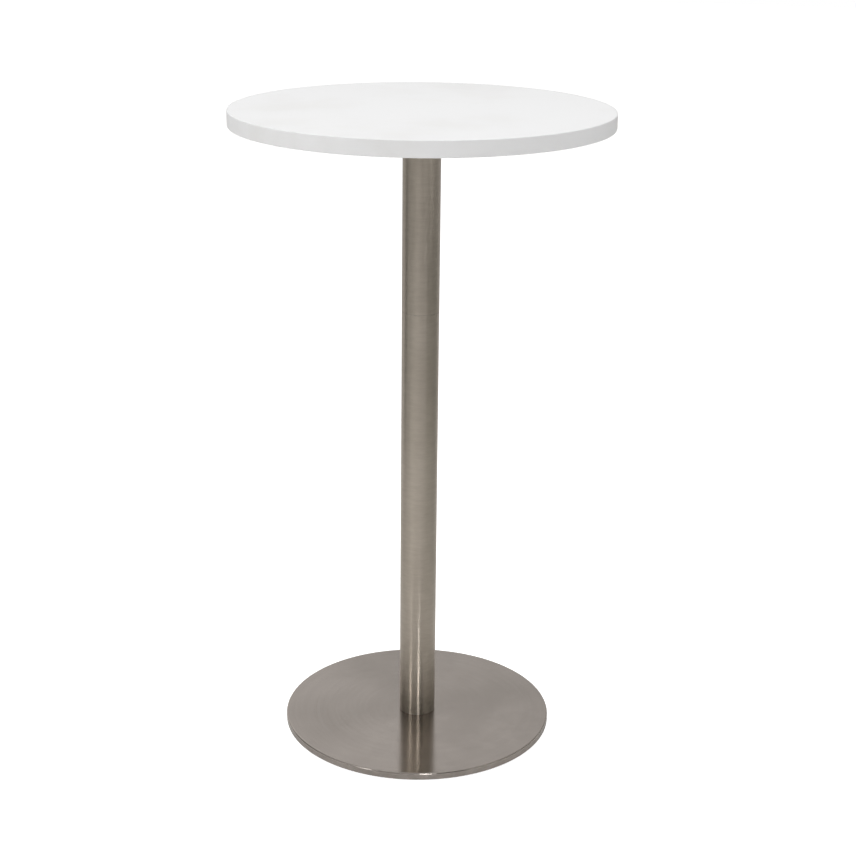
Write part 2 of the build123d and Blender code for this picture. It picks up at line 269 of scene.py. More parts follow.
@dataclass
class Wiring:
    """A node tree that is being wired.

    Attributes:
        tree: the node tree of a material, a world or a group.
    """

    tree: bpy.types.NodeTree

    def add(self, kind: str, **settings: object) -> bpy.types.Node:
        """Add a node.

        Args:
            kind: the node's type, without the ShaderNode in front.
            settings: the node's own properties.

        Returns:
            The new node.
        """
        node = self.tree.nodes.new(f"ShaderNode{kind}")
        for name, value in settings.items():
            setattr(node, name, value)
        return node

    def feed(self, socket: bpy.types.NodeSocket, source: object) -> None:
        """Join a socket to its source, or set it to a plain value."""
        if isinstance(source, bpy.types.NodeSocket):
            self.tree.links.new(source, socket)
        elif isinstance(source, tuple) and socket.type == "RGBA":
            socket.default_value = (*source, 1.0)
        else:
            socket.default_value = source

    def math(self, operation: str, *terms: object, clamp: bool = False) -> bpy.types.NodeSocket:
        """Work out one value from others.

        Args:
            operation: the Math node's operation.
            terms: its inputs, as sockets or numbers.
            clamp: whether the result is kept between 0 and 1.

        Returns:
            The result's socket.
        """
        node = self.add("Math", operation=operation, use_clamp=clamp)
        for socket, term in zip(node.inputs, terms):
            self.feed(socket, term)
        return node.outputs[0]

    def times(self, *terms: object) -> bpy.types.NodeSocket:
        """The product of two values."""
        return self.math("MULTIPLY", *terms)

    def plus(self, *terms: object) -> bpy.types.NodeSocket:
        """The sum of two values."""
        return self.math("ADD", *terms)

    def minus(self, *terms: object) -> bpy.types.NodeSocket:
        """The first value less the second."""
        return self.math("SUBTRACT", *terms)

    def length(self, x: object, y: object) -> bpy.types.NodeSocket:
        """The length of a line that goes x across and y along."""
        return self.math("SQRT", self.plus(self.times(x, x), self.times(y, y)))

    def blend(self, share: object, first: object, second: object) -> bpy.types.NodeSocket:
        """Mix two colours by a share between 0 and 1."""
        node = self.add("Mix", data_type="RGBA")
        self.feed(node.inputs["Factor"], share)
        self.feed(node.inputs[6], first)
        self.feed(node.inputs[7], second)
        return node.outputs[2]

    def between(self, value: object, low: object, high: object) -> bpy.types.NodeSocket:
        """Spread a value between 0 and 1 over the range from low to high."""
        node = self.add("MapRange")
        self.feed(node.inputs["Value"], value)
        self.feed(node.inputs["To Min"], low)
        self.feed(node.inputs["To Max"], high)
        return node.outputs["Result"]

    def window(self, value: object, low: float, high: float) -> bpy.types.NodeSocket:
        """A smooth step from 0 at low to 1 at high."""
        node = self.add("MapRange", interpolation_type="SMOOTHSTEP")
        self.feed(node.inputs["Value"], value)
        node.inputs["From Min"].default_value = low
        node.inputs["From Max"].default_value = high
        return node.outputs["Result"]

    def noise(self, vector: object, scale: object, detail: float = 3.0, rough: float = 0.5) -> bpy.types.NodeSocket:
        """Smooth noise between 0 and 1."""
        node = self.add("TexNoise")
        self.feed(node.inputs["Vector"], vector)
        self.feed(node.inputs["Scale"], scale)
        node.inputs["Detail"].default_value = detail
        node.inputs["Roughness"].default_value = rough
        return node.outputs["Fac"]

    def vector(self, x: object, y: object, z: object) -> bpy.types.NodeSocket:
        """A vector from its three parts."""
        node = self.add("CombineXYZ")
        for socket, part in zip(node.inputs, (x, y, z)):
            self.feed(socket, part)
        return node.outputs[0]

    def combine(self, operation: str, *vectors: object) -> bpy.types.NodeSocket:
        """Work out one vector from others."""
        node = self.add("VectorMath", operation=operation)
        for socket, vector in zip(node.inputs, vectors):
            self.feed(socket, vector)
        return node.outputs["Vector"]

    def parts(self, vector: bpy.types.NodeSocket) -> list[bpy.types.NodeSocket]:
        """The three parts of a vector."""
        node = self.add("SeparateXYZ")
        self.feed(node.inputs[0], vector)
        return list(node.outputs)


class Effect(Enum):
    """The effects that more than one finish uses."""

    TURNED_GRAIN = "turned_grain"
    HANDLING = "handling_marks"
    PEBBLE = "pebble"
    ARRIS_WEAR_AND_HIGHLIGHT = "arris_wear"
    DUST = "settled_dust"


def start_group(effect: Effect, inputs: dict[str, Output], outputs: dict[str, Output]) -> tuple:
    """Start a shared effect's node group.

    Args:
        effect: which effect it is.
        inputs: its input sockets.
        outputs: its output sockets.

    Returns:
        The wiring, the node with its inputs and the node with its outputs.
    """
    tree = bpy.data.node_groups.new(effect.value, "ShaderNodeTree")
    for name, kind in inputs.items():
        tree.interface.new_socket(name=name, in_out="INPUT", socket_type=kind.value)
    for name, kind in outputs.items():
        tree.interface.new_socket(name=name, in_out="OUTPUT", socket_type=kind.value)
    source = tree.nodes.new("NodeGroupInput")
    result = tree.nodes.new("NodeGroupOutput")
    return Wiring(tree), source, result


def turned_grain() -> bpy.types.NodeTree:
    """Fine scratches that run round an upright axis, as a belt or a lathe leaves them.

    Returns:
        A group that takes a place, the scratches per metre across them and how soon they end along them, and gives
        fine scratches, wider bands and slow drift, each between 0 and 1.
    """
    w, source, result = start_group(
        Effect.TURNED_GRAIN,
        {"Place": Output.VECTOR, "Lines": Output.VALUE, "Run": Output.VALUE},
        {"Scratches": Output.VALUE, "Bands": Output.VALUE, "Drift": Output.VALUE},
    )
    x, y, z = w.parts(source.outputs["Place"])
    reach = w.length(x, y)
    safe = w.math("MAXIMUM", reach, 0.0005)
    across = w.minus(reach, z)
    run = source.outputs["Run"]
    around_x = w.times(w.math("DIVIDE", x, safe), run)
    around_y = w.times(w.math("DIVIDE", y, safe), run)
    fine = w.vector(around_x, around_y, w.times(across, source.outputs["Lines"]))
    scratches = w.noise(fine, 1.0, detail=4.0, rough=0.65)
    w.feed(result.inputs["Scratches"], w.window(scratches, 0.3, 0.7))
    wide = w.vector(around_x, around_y, w.times(across, w.times(source.outputs["Lines"], 0.07)))
    w.feed(result.inputs["Bands"], w.window(w.noise(wide, 1.0, detail=2.0), 0.25, 0.75))
    w.feed(result.inputs["Drift"], w.window(w.noise(source.outputs["Place"], 5.0, detail=2.0), 0.3, 0.7))
    return w.tree


def handling_marks() -> bpy.types.NodeTree:
    """Faint wipe marks and finger smudges.

    Returns:
        A group that takes a place and a size in marks per metre, and gives a soft mask.
    """
    w, source, result = start_group(
        Effect.HANDLING, {"Place": Output.VECTOR, "Marks": Output.VALUE}, {"Mask": Output.VALUE}
    )
    swirl = w.noise(source.outputs["Place"], w.times(source.outputs["Marks"], 0.5), detail=2.0)
    bent = w.add("VectorMath", operation="MULTIPLY_ADD")
    w.feed(bent.inputs[0], w.vector(swirl, swirl, swirl))
    bent.inputs[1].default_value = (0.12, -0.07, 0.05)
    w.feed(bent.inputs[2], source.outputs["Place"])
    patches = w.noise(bent.outputs[0], source.outputs["Marks"], detail=5.0, rough=0.6)
    w.feed(result.inputs["Mask"], w.window(patches, 0.45, 0.68))
    return w.tree


def pebble() -> bpy.types.NodeTree:
    """The fine pebbled skin of laminate, moulded plastic, powder coat or a casting.

    Returns:
        A group that takes a place and a grain size in grains per metre, and gives a height and sparse pits.
    """
    w, source, result = start_group(
        Effect.PEBBLE, {"Place": Output.VECTOR, "Grains": Output.VALUE}, {"Height": Output.VALUE, "Pits": Output.VALUE}
    )
    grains = source.outputs["Grains"]
    cells = w.add("TexVoronoi", feature="SMOOTH_F1")
    w.feed(cells.inputs["Vector"], source.outputs["Place"])
    w.feed(cells.inputs["Scale"], grains)
    fine = w.noise(source.outputs["Place"], w.times(grains, 0.8), detail=4.0)
    w.feed(result.inputs["Height"], w.plus(w.times(cells.outputs["Distance"], 0.5), fine))
    sparse = w.noise(source.outputs["Place"], w.times(grains, 0.12), detail=5.0, rough=0.7)
    w.feed(result.inputs["Pits"], w.window(sparse, 0.62, 0.72))
    return w.tree


def arris_wear() -> bpy.types.NodeTree:
    """Wear, and a painted highlight, along the ring where two faces of a round piece meet.

    Returns:
        A group that takes a place, the ring's radius and height and the wear's width, and gives a broken mask.
    """
    w, source, result = start_group(
        Effect.ARRIS_WEAR_AND_HIGHLIGHT,
        {"Place": Output.VECTOR, "Radius": Output.VALUE, "Height": Output.VALUE, "Width": Output.VALUE},
        {"Mask": Output.VALUE},
    )
    x, y, z = w.parts(source.outputs["Place"])
    reach = w.length(x, y)
    off_radius = w.minus(reach, source.outputs["Radius"])
    off_height = w.minus(z, source.outputs["Height"])
    away = w.length(off_radius, off_height)
    near = w.math("SUBTRACT", 1.0, w.math("DIVIDE", away, source.outputs["Width"]), clamp=True)
    broken = w.window(w.noise(source.outputs["Place"], 160.0, detail=4.0, rough=0.6), 0.35, 0.65)
    w.feed(result.inputs["Mask"], w.math("MULTIPLY", near, w.between(broken, 0.25, 1.0), clamp=True))
    return w.tree


def settled_dust() -> bpy.types.NodeTree:
    """A thin, uneven film of dust.

    Returns:
        A group that takes a place and gives a mask of film and specks.
    """
    w, source, result = start_group(Effect.DUST, {"Place": Output.VECTOR}, {"Film": Output.VALUE})
    film = w.window(w.noise(source.outputs["Place"], 18.0, detail=6.0, rough=0.65), 0.42, 0.75)
    specks = w.window(w.noise(source.outputs["Place"], 900.0, detail=2.0), 0.66, 0.74)
    w.feed(result.inputs["Film"], w.math("MAXIMUM", film, w.times(specks, 0.6)))
    return w.tree


MAKERS = {
    Effect.TURNED_GRAIN: turned_grain,
    Effect.HANDLING: handling_marks,
    Effect.PEBBLE: pebble,
    Effect.ARRIS_WEAR_AND_HIGHLIGHT: arris_wear,
    Effect.DUST: settled_dust,
}


@dataclass
class Finish:
    """A material that is being wired round one Principled shader.

    Attributes:
        name: the material's name.
        centre: the point that its pattern is centred on, in the frame.
    """

    name: str
    centre: Vector

    def __post_init__(self) -> None:
        """Start the material with its shader and its centred place."""
        self.material = bpy.data.materials.new(self.name)
        self.material.use_nodes = True
        self.wiring = Wiring(self.material.node_tree)
        self.shader = self.material.node_tree.nodes["Principled BSDF"]
        moved = self.wiring.add("Mapping")
        moved.inputs["Location"].default_value = -self.centre
        self.wiring.feed(moved.inputs["Vector"], self.wiring.add("TexCoord").outputs["Object"])
        self.place = moved.outputs["Vector"]

    def effect(self, effect: Effect, **values: float) -> bpy.types.Node:
        """Place a shared effect in this material.

        Args:
            effect: which effect.
            values: the effect's own values, by socket name.

        Returns:
            The group's node.
        """
        tree = bpy.data.node_groups.get(effect.value) or MAKERS[effect]()
        node = self.wiring.add("Group", node_tree=tree)
        self.wiring.feed(node.inputs["Place"], self.place)
        for name, value in values.items():
            node.inputs[name].default_value = value
        return node

    def bump(self, height: bpy.types.NodeSocket, depth: float, strength: float) -> None:
        """Raise the surface by a height field.

        Args:
            height: the height, between 0 and 1.
            depth: what 1 stands for, in metres.
            strength: how much of it shows.
        """
        node = self.wiring.add("Bump")
        node.inputs["Distance"].default_value = depth
        node.inputs["Strength"].default_value = strength
        self.wiring.feed(node.inputs["Height"], height)
        self.wiring.feed(self.shader.inputs["Normal"], node.outputs["Normal"])

    def set(self, **values: object) -> None:
        """Set or feed the shader's own sockets, named with underscores for spaces."""
        for name, value in values.items():
            self.wiring.feed(self.shader.inputs[name.replace("_", " ")], value)


# ---------------------------------------------------------------- finishes


# Colour of the painted shade at the column's foot and on the cover's rim side.
PAINTED_SHADE_COLOUR = (0.05, 0.042, 0.035)
DUST_GREY = (0.42, 0.4, 0.37)
FOUNDRY_DUST = (0.3, 0.28, 0.26)
BRUSHED_MARKS = 9.0
# How far a worn arris is lightened towards the bright steel: wear polish, and a painted highlight.
POLISH_AND_HIGHLIGHT = 0.6
UNEVEN_GLOSS = 0.12
SMUDGE_DULLS = 0.03
POLISH_BRIGHTENS = 0.03
# How much rougher the steel is where its painted shade lies.
PAINTED_SHADE_DULLS = 0.1
QUARTER_TURN = 0.25


@dataclass(frozen=True)
class BrushedSteel:
    """Satin stainless, brushed round the piece's own upright axis.

    Attributes:
        name: the finish's name.
        light: the colour of the bright scratches.
        dark: the colour between them.
        roughness: how far its reflections spread.
        spread: how much further they spread across the scratches than along them.
        lines: scratches per metre.
        run: how soon a scratch ends, where more is sooner.
        scratch: how strongly the scratches show.
        groove: how far a scratch's sides lean, as a slope.
        handling: how strongly wipe marks and smudges show.
        rim_radius: the radius of the arris that wear leaves with a polish, and that is lightened as a painted
            highlight.
        rim_height: that arris's height.
        rim_width: how wide the polish and the painted highlight are.
        painted_shade_below: the height under which it is darkened as painted shade.
        painted_shade_fade: how far above that the painted shade fades out.
        painted_shade_share: how strong the painted shade is.
    """

    name: str
    light: Colour
    dark: Colour
    roughness: float
    spread: float
    lines: float
    run: float
    scratch: float
    groove: float
    handling: float
    rim_radius: float
    rim_height: float
    rim_width: float
    painted_shade_below: float
    painted_shade_fade: float
    painted_shade_share: float

    def material(self, centre: Vector) -> bpy.types.Material:
        """Make the material, with its pattern round centre."""
        finish = Finish(self.name, centre)
        w = finish.wiring
        grain = finish.effect(Effect.TURNED_GRAIN, Lines=self.lines, Run=self.run)
        marks = finish.effect(Effect.HANDLING, Marks=BRUSHED_MARKS)
        wear = finish.effect(Effect.ARRIS_WEAR_AND_HIGHLIGHT, Radius=self.rim_radius, Height=self.rim_height, Width=self.rim_width)
        fine = w.times(grain.outputs["Scratches"], 0.5 * self.scratch)
        wide = w.times(grain.outputs["Bands"], 0.5 * self.scratch)
        slow = w.times(grain.outputs["Drift"], 1.0 - self.scratch)
        tone = w.plus(w.plus(fine, wide), slow)
        steel = w.blend(tone, self.dark, self.light)
        smudged = w.blend(w.times(marks.outputs["Mask"], self.handling), steel, self.dark)
        # Wear polish and a painted highlight: the arris is lightened towards the bright steel colour.
        polished_and_highlit = w.blend(w.times(wear.outputs["Mask"], POLISH_AND_HIGHLIGHT), smudged, self.light)
        x, y, z = w.parts(finish.place)
        # Painted shade: the steel is darkened from the given height downwards, fading out above it, in uneven patches.
        low = w.minus(1.0, w.window(z, self.painted_shade_below, self.painted_shade_below + self.painted_shade_fade))
        shade_patches = w.between(w.window(w.noise(finish.place, 70.0, detail=5.0, rough=0.65), 0.35, 0.65), 0.6, 1.0)
        marking = w.times(w.times(low, shade_patches), self.painted_shade_share)
        shown = w.blend(marking, polished_and_highlit, PAINTED_SHADE_COLOUR)
        uneven = UNEVEN_GLOSS * self.scratch
        rough = w.between(
            grain.outputs["Scratches"], self.roughness * (1.0 - uneven), self.roughness * (1.0 + uneven)
        )
        rough = w.plus(rough, w.times(marks.outputs["Mask"], SMUDGE_DULLS))
        rough = w.minus(rough, w.times(wear.outputs["Mask"], POLISH_BRIGHTENS))
        rough = w.plus(rough, w.times(marking, PAINTED_SHADE_DULLS))
        finish.set(Base_Color=shown, Metallic=1.0, Roughness=rough, Anisotropic=self.spread)
        finish.set(Anisotropic_Rotation=QUARTER_TURN)
        along = w.combine("NORMALIZE", w.vector(w.times(y, -1.0), x, 0.0))
        facing = w.add("NewGeometry").outputs["Normal"]
        lean = w.between(grain.outputs["Scratches"], -self.groove, self.groove)
        across = w.combine("MULTIPLY", w.combine("CROSS_PRODUCT", along, facing), w.vector(lean, lean, lean))
        grooved = w.combine("NORMALIZE", w.combine("ADD", facing, across))
        finish.set(Tangent=along, Normal=grooved)
        return finish.material


@dataclass(frozen=True)
class TurnedSteel:
    """Bare or plated steel with faint tool marks round its axis.

    Attributes:
        name: the finish's name.
        light: the colour of the clean metal.
        dark: the colour of the tool marks and stains.
        roughness: how dull it is.
        lines: tool marks per metre.
    """

    name: str
    light: Colour
    dark: Colour
    roughness: float
    lines: float

    def material(self, centre: Vector) -> bpy.types.Material:
        """Make the material, with its tool marks round centre."""
        finish = Finish(self.name, centre)
        w = finish.wiring
        grain = finish.effect(Effect.TURNED_GRAIN, Lines=self.lines, Run=3.0)
        marks = finish.effect(Effect.HANDLING, Marks=60.0)
        tone = w.times(w.plus(grain.outputs["Scratches"], grain.outputs["Bands"]), 0.5)
        metal = w.blend(tone, self.dark, self.light)
        stained = w.blend(w.times(marks.outputs["Mask"], 0.45), metal, self.dark)
        rough = w.between(marks.outputs["Mask"], self.roughness, self.roughness + 0.15)
        finish.set(Base_Color=stained, Metallic=1.0, Roughness=rough)
        finish.bump(grain.outputs["Scratches"], 0.00003, 0.5)
        return finish.material


@dataclass(frozen=True)
class PebbledPlastic:
    """Laminate, plastic or paint with a fine pebbled skin.

    Attributes:
        name: the finish's name.
        colour: its own colour.
        soiled: the colour that it turns where it is handled.
        roughness: how dull it is.
        grains: skin grains per metre.
        depth: how deep the skin's grains are, in metres.
        marking: how strongly handling shows.
        dust: how strongly dust shows.
        coat: the weight of a thin clear coat.
    """

    name: str
    colour: Colour
    soiled: Colour
    roughness: float
    grains: float
    depth: float
    marking: float
    dust: float = 0.0
    coat: float = 0.0

    def material(self, centre: Vector) -> bpy.types.Material:
        """Make the material, with its pattern laid out from centre."""
        finish = Finish(self.name, centre)
        w = finish.wiring
        skin = finish.effect(Effect.PEBBLE, Grains=self.grains)
        marks = finish.effect(Effect.HANDLING, Marks=7.0)
        film = finish.effect(Effect.DUST)
        worn = w.blend(w.times(marks.outputs["Mask"], self.marking), self.colour, self.soiled)
        flecked = w.blend(w.times(skin.outputs["Pits"], self.marking * 0.5), worn, self.soiled)
        dusty = w.blend(w.times(film.outputs["Film"], self.dust), flecked, DUST_GREY)
        rough = w.between(marks.outputs["Mask"], self.roughness, self.roughness * 0.82)
        finish.set(Base_Color=dusty, Roughness=rough, Coat_Weight=self.coat)
        finish.bump(skin.outputs["Height"], self.depth, 0.6)
        return finish.material


@dataclass(frozen=True)
class Casting:
    """A dark dipped iron casting with a sandy skin and a little rust.

    Attributes:
        name: the finish's name.
        colour: the dip's colour.
        rust: the colour where the dip is thin.
        grains: sand grains per metre.
    """

    name: str
    colour: Colour
    rust: Colour
    grains: float

    def material(self, centre: Vector) -> bpy.types.Material:
        """Make the material, with its pattern laid out from centre."""
        finish = Finish(self.name, centre)
        w = finish.wiring
        skin = finish.effect(Effect.PEBBLE, Grains=self.grains)
        marks = finish.effect(Effect.HANDLING, Marks=14.0)
        film = finish.effect(Effect.DUST)
        rusty = w.blend(w.times(skin.outputs["Pits"], 0.7), self.colour, self.rust)
        thin = w.blend(w.times(marks.outputs["Mask"], 0.35), rusty, self.rust)
        dusty = w.blend(w.times(film.outputs["Film"], 0.2), thin, FOUNDRY_DUST)
        rough = w.between(marks.outputs["Mask"], 0.55, 0.8)
        metal = w.minus(0.55, w.times(marks.outputs["Mask"], 0.4))
        finish.set(Base_Color=dusty, Roughness=rough, Metallic=metal)
        finish.bump(skin.outputs["Height"], 0.0005, 0.8)
        return finish.material


@dataclass(frozen=True)
class Chipboard:
    """Pressed wood chips and glue, as they show on a cut board.

    Attributes:
        name: the finish's name.
        pale: the colour of the palest chips.
        brown: the colour of the darkest.
        chips: chips per metre.
    """

    name: str
    pale: Colour
    brown: Colour
    chips: float

    def material(self, centre: Vector) -> bpy.types.Material:
        """Make the material, with its chips laid out from centre."""
        finish = Finish(self.name, centre)
        w = finish.wiring
        flattened = w.add("Mapping")
        flattened.inputs["Scale"].default_value = (1.0, 1.0, 3.0)
        w.feed(flattened.inputs["Vector"], finish.place)
        chips = w.add("TexVoronoi")
        w.feed(chips.inputs["Vector"], flattened.outputs["Vector"])
        chips.inputs["Scale"].default_value = self.chips
        shade = w.add("SeparateColor")
        w.feed(shade.inputs[0], chips.outputs["Color"])
        fibres = w.noise(flattened.outputs["Vector"], self.chips * 4, detail=5.0, rough=0.7)
        tone = w.times(w.plus(shade.outputs[0], fibres), 0.5)
        finish.set(Base_Color=w.blend(tone, self.brown, self.pale), Roughness=w.between(fibres, 0.75, 0.95))
        finish.bump(tone, 0.0004, 0.7)
        return finish.material


# ---------------------------------------------------------------- pieces on the frame


def keep(bm: bmesh.types.BMesh, name: str, crease: float = 35.0) -> bpy.types.Object:
    """Turn a finished mesh into a piece, smooth but for its creases.

    Args:
        bm: the finished mesh, which is freed.
        name: the piece's name.
        crease: the angle in degrees past which an edge stays sharp.

    Returns:
        The piece's object, at the origin.
    """
    mesh = bpy.data.meshes.new(name)
    bm.to_mesh(mesh)
    bm.free()
    mesh.shade_smooth()
    mesh.set_sharp_from_angle(angle=radians(crease))
    piece = bpy.data.objects.new(name, mesh)
    bpy.context.scene.collection.objects.link(piece)
    flats = piece.modifiers.new("flats_stay_flat", "WEIGHTED_NORMAL")
    flats.keep_sharp = True
    return piece


def mount(piece: bpy.types.Object, material: bpy.types.Material, body: str, slot: str, *nodes: str) -> None:
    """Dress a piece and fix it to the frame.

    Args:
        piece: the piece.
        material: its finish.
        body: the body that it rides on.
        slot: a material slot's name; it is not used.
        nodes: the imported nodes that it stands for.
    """
    piece.data.materials.append(material)
    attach(piece, body)
    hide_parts(*nodes)
    LOG.info("%s: %d faces, stands for %s on %s", piece.name, len(piece.data.polygons), ", ".join(nodes), body)


def dress(node: str, material: bpy.types.Material) -> None:
    """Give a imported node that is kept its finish.

    Args:
        node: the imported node's name.
        material: its finish.
    """
    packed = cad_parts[node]
    for place in packed.material_slots:
        place.material = material
    LOG.info("%s: kept as packed, finished with %s", node, material.name)


WHITE = (0.86, 0.867, 0.877)
SOILED_WHITE = (0.78, 0.775, 0.76)
TUBE_LIGHT = (0.62, 0.561, 0.49)
TUBE_DARK = (0.48, 0.43, 0.368)
COVER_LIGHT = (0.545, 0.497, 0.462)
COVER_DARK = (0.42, 0.382, 0.352)
TURNED_LIGHT = (0.55, 0.54, 0.52)
TURNED_DARK = (0.33, 0.32, 0.3)
ZINC_LIGHT = (0.7, 0.7, 0.67)
ZINC_DARK = (0.45, 0.44, 0.4)
ORIGIN = Vector((0.0, 0.0, 0.0))


@dataclass
class TableTop:
    """The round top: laminate on a chipboard core, with a plastic band round the edge.

    Attributes:
        arris: how far the band's edges are rounded over.
        glue_line: the gap that the band's glue fills.
        band_joint: the gap where the two ends of the band meet, at the back.
        laminate_arris: how far the laminate's own edge is eased.
        facet_room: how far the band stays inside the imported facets.
        steps: facets round the top.
    """

    arris: float = 1.5 * MM
    glue_line: float = 0.1 * MM
    band_joint: float = 0.25 * MM
    laminate_arris: float = 0.15 * MM
    facet_room: float = 0.05 * MM
    steps: int = 240

    def __post_init__(self) -> None:
        """Read the top's places from the frame."""
        self.board = Turned.of("top_core")
        self.sheet = Turned.of("top_laminate")
        self.band = Turned.of("edge_band")

    def build_band(self) -> bpy.types.Object:
        """Turn the edge band, open at its joint."""
        inner = self.board.radius + self.glue_line
        outer, bottom, top = self.band.radius - self.facet_room, self.band.bottom, self.band.top
        section = [(inner, bottom), (outer, bottom), (outer, top), (inner, top)]
        gap = self.band_joint / outer
        bm = turn(section, self.steps, sweep=tau - gap, start=pi / 2 + gap / 2)
        for height in (bottom, top):
            ease(bm, outer, height, self.arris, 5)
        return keep(bm, "band_round_the_edge", crease=40.0)

    def build_laminate(self) -> bpy.types.Object:
        """Turn the laminate sheet that things are set down on."""
        radius, bottom, top = self.sheet.radius, self.sheet.bottom, self.sheet.top
        bm = turn([(0.0, bottom), (radius, bottom), (radius, top), (0.0, top)], self.steps)
        ease(bm, radius, top, self.laminate_arris, 2)
        return keep(bm, "laminate_sheet")

    def assemble(self) -> None:
        """Build and dress the top."""
        laminate = PebbledPlastic(
            "white_laminate", WHITE, SOILED_WHITE, roughness=0.42, grains=1400.0, depth=0.00004, marking=0.3, coat=0.05
        )
        edge = PebbledPlastic(
            "white_edge_band", WHITE, SOILED_WHITE, roughness=0.45, grains=1800.0, depth=0.00003, marking=0.4
        )
        backing = PebbledPlastic(
            "backing_laminate", (0.72, 0.72, 0.7), (0.62, 0.61, 0.58), roughness=0.6, grains=900.0, depth=0.00006,
            marking=0.5, dust=0.1,
        )
        chips = Chipboard("particleboard", (0.72, 0.58, 0.4), (0.38, 0.26, 0.15), chips=260.0)
        mount(self.build_band(), edge.material(ORIGIN), "table", "white_edge_band", "edge_band")
        mount(self.build_laminate(), laminate.material(ORIGIN), "table", "white_laminate", "top_laminate")
        dress("underside_laminate", backing.material(ORIGIN))
        dress("top_core", chips.material(ORIGIN))


@dataclass
class Spider:
    """The black plate under the top, with its hub and the screws that hold the top down."""

    def assemble(self) -> None:
        """Dress the spider."""
        coat = PebbledPlastic(
            "black_coated_steel", (0.02, 0.02, 0.021), (0.05, 0.05, 0.05), roughness=0.48, grains=1100.0,
            depth=0.00012, marking=0.5, dust=0.12,
        )
        hub = TurnedSteel("turned_hub", TURNED_LIGHT, TURNED_DARK, roughness=0.3, lines=5000.0)
        zinc = TurnedSteel("zinc_screws", (0.72, 0.72, 0.69), (0.48, 0.47, 0.42), roughness=0.28, lines=4000.0)
        dress("spider_plate", coat.material(ORIGIN))
        dress("spider_hub", hub.material(ORIGIN))
        dress("top_screws", zinc.material(ORIGIN))


@dataclass
class Column:
    """Two brushed tubes on an inner sleeve.

    Attributes:
        wall: the tubes' wall.
        joint_ease: how far the tube ends are eased beside the collar.
        foot_ease: how far the foot of the column is eased.
        sleeve_wall: the sleeve's wall.
        slip: the clearance of the sleeve in the tubes.
        sleeve_ease: how far the sleeve's ends are eased.
        steps: facets round the column.
    """

    wall: float = 1.5 * MM
    joint_ease: float = 0.15 * MM
    foot_ease: float = 0.25 * MM
    sleeve_wall: float = 2.5 * MM
    slip: float = 0.1 * MM
    sleeve_ease: float = 1.0 * MM
    steps: int = 160

    def __post_init__(self) -> None:
        """Read the column's places from the frame."""
        self.lower = Turned.of("lower_tube")
        self.upper = Turned.of("upper_tube")
        self.sleeve = Turned.of("joint_sleeve")

    def build_tube(self, place: Turned, name: str, foot: float, head: float) -> bpy.types.Object:
        """Turn one tube.

        Args:
            place: where it stands.
            name: the piece's name.
            foot: how far its lower outer edge is eased.
            head: how far its upper outer edge is eased.

        Returns:
            The tube.
        """
        bore = place.radius - self.wall
        section = [(bore, place.bottom), (place.radius, place.bottom), (place.radius, place.top), (bore, place.top)]
        bm = turn(section, self.steps)
        ease(bm, place.radius, place.bottom, foot, 2)
        ease(bm, place.radius, place.top, head, 2)
        return keep(bm, name)

    def build_sleeve(self) -> bpy.types.Object:
        """Turn the inner sleeve and its collar."""
        outer = self.lower.radius - self.wall - self.slip
        inner = outer - self.sleeve_wall
        collar = self.sleeve.radius
        low, high = self.sleeve.bottom, self.sleeve.top
        under, over = self.lower.top, self.upper.bottom
        section = [(inner, low), (outer, low), (outer, under), (collar, under), (collar, over), (outer, over)]
        bm = turn(section + [(outer, high), (inner, high)], self.steps)
        for height in (low, high):
            ease(bm, outer, height, self.sleeve_ease, 2)
        return keep(bm, "sleeve_and_collar")

    def assemble(self) -> None:
        """Build and dress the column."""
        brushed = BrushedSteel(
            "brushed_tube", TUBE_LIGHT, TUBE_DARK, roughness=0.3, spread=0.95, lines=2600.0, run=1.6, scratch=0.65,
            groove=0.05, handling=0.25,
            rim_radius=self.lower.radius, rim_height=self.lower.top, rim_width=1.5 * MM,
            painted_shade_below=self.lower.bottom, painted_shade_fade=60.0 * MM, painted_shade_share=0.4,
        # Painted shade at the foot of the column, fading out 60 mm up.
        )
        steel = brushed.material(ORIGIN)
        turned = TurnedSteel("turned_sleeve", (0.56, 0.51, 0.45), (0.44, 0.4, 0.35), roughness=0.4, lines=5000.0)
        lower = self.build_tube(self.lower, "lower_column", self.foot_ease, self.joint_ease)
        upper = self.build_tube(self.upper, "upper_column", self.joint_ease, self.foot_ease)
        mount(lower, steel, "table", "brushed_stainless", "lower_tube")
        mount(upper, steel, "table", "brushed_stainless", "upper_tube")
        mount(self.build_sleeve(), turned.material(ORIGIN), "table", "turned_steel", "joint_sleeve")


